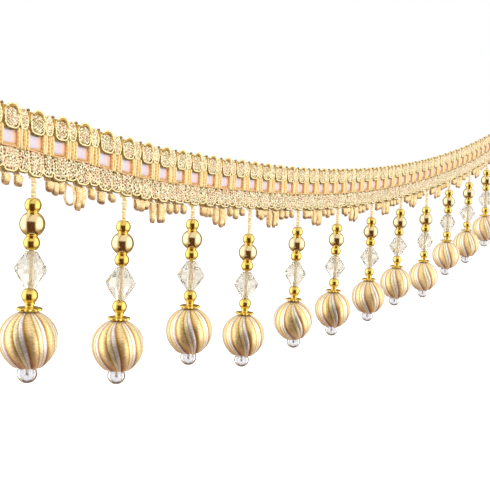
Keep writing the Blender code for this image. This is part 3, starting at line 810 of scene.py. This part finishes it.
circle = 2.0 * math.pi * np.arange(9) / 8
stem_beads = [bead(-2.35, SMALL_BEAD), bead(-8.15, LARGE_BEAD, finish=1, around=48, steps=28),
              bead(-14.0, SMALL_BEAD)]
for middle in (-4.6, -11.75):
    ring = np.stack((RING_RADIUS + RING_WIDE * np.cos(circle), middle + RING_HIGH * np.sin(circle)), axis=-1)
    stem_beads.append(turned(ring, 28))


def plated(name, deep, light, grain, polish, relief):
    """Vacuum-plated gilt: a metal skin, close to a mirror, with the faint unevenness of moulded plastic."""
    made, paint, shader = material(name)
    wear = slubs(paint, grain, 3.0)
    shade = paint("Mix", {0: wear, 6: dye(deep), 7: dye(light)}, **BLEND)
    rub = paint("MapRange", {"Value": wear, "To Min": polish, "To Max": 2.0 * polish})
    bumps = paint("Bump", {"Height": wear, "Strength": relief, "Distance": 0.0005})
    feed(shader, {"Base Color": shade, "Metallic": 1.0, "Roughness": rub, "Normal": bumps})
    return made


# Yellow gilt on the small beads, and the same plating in a champagne shade on the large one.
yellow_gilt = plated("yellow_gilt_plating", "#e4be54", "#f6de88", 350.0, 0.12, 0.06)
champagne_gilt = plated("champagne_gilt_plating", "#e9d09a", "#f6e6bc", 300.0, 0.10, 0.05)
place_drops("gilt_beads", woven("gilt_beads", stem_beads, [yellow_gilt, champagne_gilt]),
            below_cord, "gold_beads")

# The crystal of each drop: an eight-sided double cone, moulded in clear acrylic and drilled through. Its
# facets are flat and sharp, and the cord shows as a peach line down the middle.
STEM, CRYSTAL_LONG = 16.7, 11.2
SIDES, BORE = 8, 1.2
CRYSTAL_RINGS = (  # radius, drop, turn: four rings of corners, then the bore's two ends
    (1.9, 0.0, 0.0), (5.4, 5.1, 0.5), (5.4, 5.9, 0.5), (1.9, CRYSTAL_LONG, 0.0),
    (BORE, 0.0, 0.0), (BORE, CRYSTAL_LONG, 0.0),
)
crystal_points, crystal_faces = [], []
for radius, drop, shift in CRYSTAL_RINGS:
    for side in range(SIDES):
        turn = 2.0 * math.pi * (side + shift) / SIDES
        crystal_points.append((radius * math.cos(turn) * MM, radius * math.sin(turn) * MM, -drop * MM))
for side in range(SIDES):
    top, high, low, foot, bore_top, bore_foot = (ring * SIDES + side for ring in range(len(CRYSTAL_RINGS)))
    step = (side + 1) % SIDES - side
    crystal_faces += [
        (top, high, top + step), (top + step, high, high + step), (high, low, low + step, high + step),
        (low, foot, foot + step), (low, foot + step, low + step),
        (top, top + step, bore_top + step, bore_top), (foot + step, foot, bore_foot, bore_foot + step),
        (bore_top, bore_top + step, bore_foot + step, bore_foot),
    ]

# Clear acrylic, polished, with a trace of warm haze where the moulding flowed. Acrylic's IOR is 1.49, and
# it is matched a little lower, because so many facets would otherwise trap the light and go black.
CLEAR_IOR = 1.33
clear_acrylic, paint, shader = material("clear_acrylic")
shade = paint("Mix", {0: slubs(paint, 250.0), 6: dye("#f8f1de"), 7: dye("#fffdf8")}, **BLEND)
feed(shader, {"Base Color": shade, "Roughness": 0.03, "IOR": CLEAR_IOR, "Transmission Weight": 0.88})
crystal = bpy.data.meshes.new("acrylic_crystal")
crystal.from_pydata(crystal_points, [], crystal_faces)
crystal.materials.append(clear_acrylic)
crystal.update()
place_drops("acrylic_crystal", crystal,
            lambda number: below_cord(number, STEM) @ Matrix.Rotation(math.radians(7.0 * number), 4, "Z"),
            "crystal")


def coil(radius, turn, top, fall, steps, start=0.0):
    """Points along a thread that winds as it falls, by a turn and a fall for each step."""
    step = np.arange(steps)
    phase = turn * step + start
    return np.stack((radius * np.cos(phase), radius * np.sin(phase), top - fall * step), axis=-1)


core_grids = [yarn(coil(0.4, 1.1, 0.8, 0.3, 43, math.pi * ply), PLY, 6, ply, on_swag=False)
              for ply in range(2)]
place_drops("core_cord", woven("core_cord", core_grids, [cream_gimp, peach_rayon]),
            lambda number: below_cord(number, STEM))

# The cap of each drop: a small gilt bead and, under it, a gilt cup with a petalled rim that sits on the
# ball. Both are plated like the other beads.
GAP, PETALS = 0.3, 10
CAP_AT = STEM + GAP + CRYSTAL_LONG + GAP
CUP = (  # radius, height
    (1.2, -4.0), (1.6, -4.15), (1.75, -4.5), (1.4, -4.9), (1.4, -5.3), (1.9, -5.55), (2.8, -5.7),
    (3.4, -5.65), (3.85, -5.85), (4.0, -6.2), (3.8, -6.55), (3.4, -6.65), (3.0, -6.4), (1.5, -6.3),
)


def petals(radius, turn):
    """The cup's rim swells into petals, and its neck is plain."""
    reach = np.clip((radius - 1.8) / 1.6, 0.0, 1.0)[:, None]
    return 1.0 + 0.15 * reach * (np.abs(np.cos(0.5 * PETALS * turn))[None, :] ** 0.8 - 0.7)


cap_grids = [bead(-2.0, SMALL_BEAD), turned(CUP, 8 * PETALS, ripple=petals)]
place_drops("gilt_cap", woven("gilt_cap", cap_grids, [yellow_gilt]),
            lambda number: below_cord(number, CAP_AT), "cap")

# The wound ball: a wooden core wrapped from pole to pole in bands of silky thread, eight times over, each
# with a raised white cord, a dark groove and a broad gold band. The bands twist to the right as they go down.
BALL_RADIUS, BALL_HALF, CAP_LONG = 9.25, 8.95, 6.35
WRAPS, WRAP_STEPS, BALL_ROWS = 8, 14, 48
BALL_TOP, BALL_FOOT = 0.10, math.pi - 0.30
ball_steps = WRAPS * WRAP_STEPS


def raised(share):
    """How far the winding stands out, round one wrap: the white cord, the groove, the band and its edge."""
    cord_hump = np.exp(-((share - 0.11) / 0.06) ** 2)
    groove = np.exp(-((share - 0.23) / 0.035) ** 2)
    band = np.sin(math.pi * np.clip((share - 0.25) / 0.5, 0.0, 1.0)) ** 0.6
    edge = np.exp(-((share - 0.86) / 0.06) ** 2)
    return 0.25 * cord_hump - 0.16 * groove + 0.22 * band + 0.17 * edge - 0.05


# The ball's profile is round above and drawn in below, and turns in at its foot.
ball_rows = np.linspace(BALL_TOP, BALL_FOOT, BALL_ROWS)
low = np.clip(-np.cos(ball_rows), 0.0, 1.0)
ball_wide = BALL_RADIUS * np.where(low > 0.0, 1.0 - 0.52 * low ** 2.2, np.sin(ball_rows))
ball_high = BALL_HALF * np.cos(ball_rows)
foot_shares = np.array((0.93, 0.8, 0.5, 0.25))
ball_wide = np.concatenate((ball_wide, ball_wide[-1] * foot_shares))
ball_high = np.concatenate((ball_high, ball_high[-1] - np.array((0.22, 0.3, 0.2, 0.0))))
relief_share = np.clip(np.concatenate((np.sin(ball_rows) * 1.6, 0.4 * foot_shares)), 0.0, 1.0)
down_share = np.concatenate((ball_rows, math.pi - (math.pi - BALL_FOOT) * foot_shares)) / math.pi
wrap_share = (np.arange(ball_steps) % WRAP_STEPS) / WRAP_STEPS
ball_radius = ball_wide[:, None] + (raised(wrap_share)[None, :] - 0.12) * relief_share[:, None]
ball_turn = 2.0 * math.pi * np.arange(ball_steps) / ball_steps
twist = math.radians(40.0) * down_share ** 2
waver = math.radians(2.5) * np.sin(3.0 * ball_turn[None, :] + 7.0 * down_share[:, None])
angle = ball_turn[None, :] + twist[:, None] + waver
ball_grid = np.stack((ball_radius * np.cos(angle), ball_radius * np.sin(angle),
                      np.broadcast_to(ball_high[:, None], angle.shape)), axis=-1) * MM
ball_down = down_share * math.pi * BALL_RADIUS

# Viscose thread, silky and close: white over a silver core, then the groove, then old gold with the fine
# cross lines of each turn. Painted shade darkens the groove and the dips beside the cord and the band's edge,
# and deepens the gold toward the foot.
TURN = 0.4  # mm between turns of the thread: coarser than the real one, so that they show
wound_viscose, paint, shader = material("wound_viscose")
down = paint("SeparateXYZ", {0: paint("TexCoord", output="UV")}, "X")
lay = down.node.outputs["Y"]
share = paint("Math", {0: lay}, operation="FRACT")
# Painted shade: the darker stops lie in the groove and in the dips beside the white cord and the band's edge.
bands = paint("ValToRGB", {"Fac": share}, "Color", stops=(
    (0.0, "#d6c6a2"), (0.06, "#f4f0f4"), (0.15, "#e9e2ea"), (0.20, "#c09e68"), (0.25, "#a47a3e"),
    (0.32, "#dcae68"), (0.45, "#f4dca4"), (0.66, "#f0d094"), (0.75, "#b48e4c"), (0.80, "#f2e0b4"),
    (0.92, "#f8ecc4"), (0.97, "#c8ac74")))
# Painted shade: the colour deepens toward the foot, most in the gold band.
foot = paint("MapRange", {"Value": down, "From Min": 13.0, "From Max": 25.0, "To Max": 0.85},
             interpolation_type="SMOOTHSTEP")
from_band = paint("Math", {0: share, 1: 0.36}, operation="SUBTRACT")
from_band = paint("Math", {0: from_band}, operation="ABSOLUTE")
in_band = paint("MapRange", {"Value": from_band, "From Min": 0.32, "From Max": 0.12, "To Min": 0.6})
foot = paint("Math", {0: foot, 1: in_band}, operation="MULTIPLY")
foot_shaded_bands = paint("Mix", {0: foot, 6: bands, 7: dye("#8a420c")}, blend_type="MULTIPLY", **BLEND)
# The cross lines vary the colour, darker in their dips as painted shade.
stretched = paint("CombineXYZ", {
    "X": paint("Math", {0: down, 1: 1.0 / TURN}, operation="MULTIPLY"),
    "Y": paint("Math", {0: lay, 1: 5.0}, operation="MULTIPLY")})
lines = paint("TexNoise", {"Vector": stretched, "Scale": 1.0, "Detail": 2.0})
streak = paint("MapRange", {"Value": lines, "From Min": 0.35, "From Max": 0.65, "To Min": 0.8,
                            "To Max": 1.18})
shade = paint("VectorMath", {0: foot_shaded_bands, "Scale": streak}, operation="SCALE")
# The sheen of the thread is like metal's where it faces out, and less so toward the rim. The tent's opening
# shows less in the balls that hang further from it.
facing = paint("LayerWeight", {"Blend": 0.5}, "Facing")
gloss = paint("MapRange", {"Value": facing, "From Min": 0.15, "From Max": 0.65, "To Min": 0.8,
                           "To Max": 0.15})
along = paint("SeparateXYZ", {0: paint("ObjectInfo", output="Location")}, "X")
near = paint("MapRange", {"Value": along, "From Min": -0.02, "From Max": 0.12, "To Min": 1.0, "To Max": 0.45})
gloss = paint("Math", {0: gloss, 1: near}, operation="MULTIPLY")
feed(shader, {"Base Color": shade, "Metallic": gloss, "Roughness": 0.31, "Anisotropic": 0.7,
              "Anisotropic Rotation": 0.25, "Sheen Weight": 0.4, "Sheen Roughness": 0.35,
              "Sheen Tint": dye("#fff2dc"),
              "Normal": paint("Bump", {"Height": lines, "Strength": 0.4, "Distance": 0.0001})})


def ball_pose(number):
    """A ball hangs from its cap, turned and tilted as it happens to hang."""
    turn, tilt = DROP_TABLE[number, 3:]
    middle = CAP_AT + CAP_LONG + GAP + BALL_HALF + 0.02 * abs(tilt)
    turned_so = Euler((0.0, math.radians(tilt), math.radians(turn)), "ZYX").to_matrix().to_4x4()
    return below_cord(number, middle) @ turned_so


ball_lay = np.arange(ball_steps + 1) / WRAP_STEPS
ball = woven("wound_ball", [(ball_grid[::-1], ball_down[::-1], ball_lay, True, 0)], [wound_viscose])
place_drops("wound_ball", ball, ball_pose, "ball")

# The stop bead: a round bead of clear acrylic under each ball, through which the cord's end is knotted back.
# It is fastened to the ball's foot. A knot tied small in dark thread sits in its hole and shows through it;
# its darkness is painted shade, for the dark spot in the bead's middle.
STOP_RADIUS, STOP_HALF, STOP_DROP = 3.2, 3.1, 11.0
stop_bead = bead(-STOP_DROP, STOP_RADIUS, 0.9, around=28, steps=16, squat=STOP_HALF / STOP_RADIUS, bore=0.6)

# The same clear acrylic, with painted shade: it goes grey toward the bead's rim, unevenly.
rim_shaded_acrylic, paint, shader = material("rim_shaded_clear_acrylic")
rim = paint("LayerWeight", {"Blend": 0.5}, "Facing")
rim = paint("Math", {0: slubs(paint, 600.0), 1: 0.5, 2: rim}, operation="MULTIPLY_ADD")
rim = paint("MapRange", {"Value": rim, "From Min": 0.45, "From Max": 0.85})
shade = paint("Mix", {0: rim, 6: dye("#fcfbff"), 7: dye("#b2b2c4")}, **BLEND)
feed(shader, {"Base Color": shade, "Roughness": 0.05, "IOR": CLEAR_IOR, "Transmission Weight": 0.9})
place_drops("stop_bead", woven("stop_bead", [stop_bead], [rim_shaded_acrylic]), ball_pose)
# The dark coil is painted shade, for the dark spot seen through the bead.
knot_grids = [yarn(coil(0.25, 2.2, -8.6, 0.3, 9), 0.28, 5, 0, on_swag=False),
              yarn(coil(0.2, 2.0, -10.9, 0.12, 7), 0.4, 6, 1, on_swag=False)]
place_drops("end_knot", woven("end_knot", knot_grids, [cream_gimp, knot_and_shadow_cotton]), ball_pose)
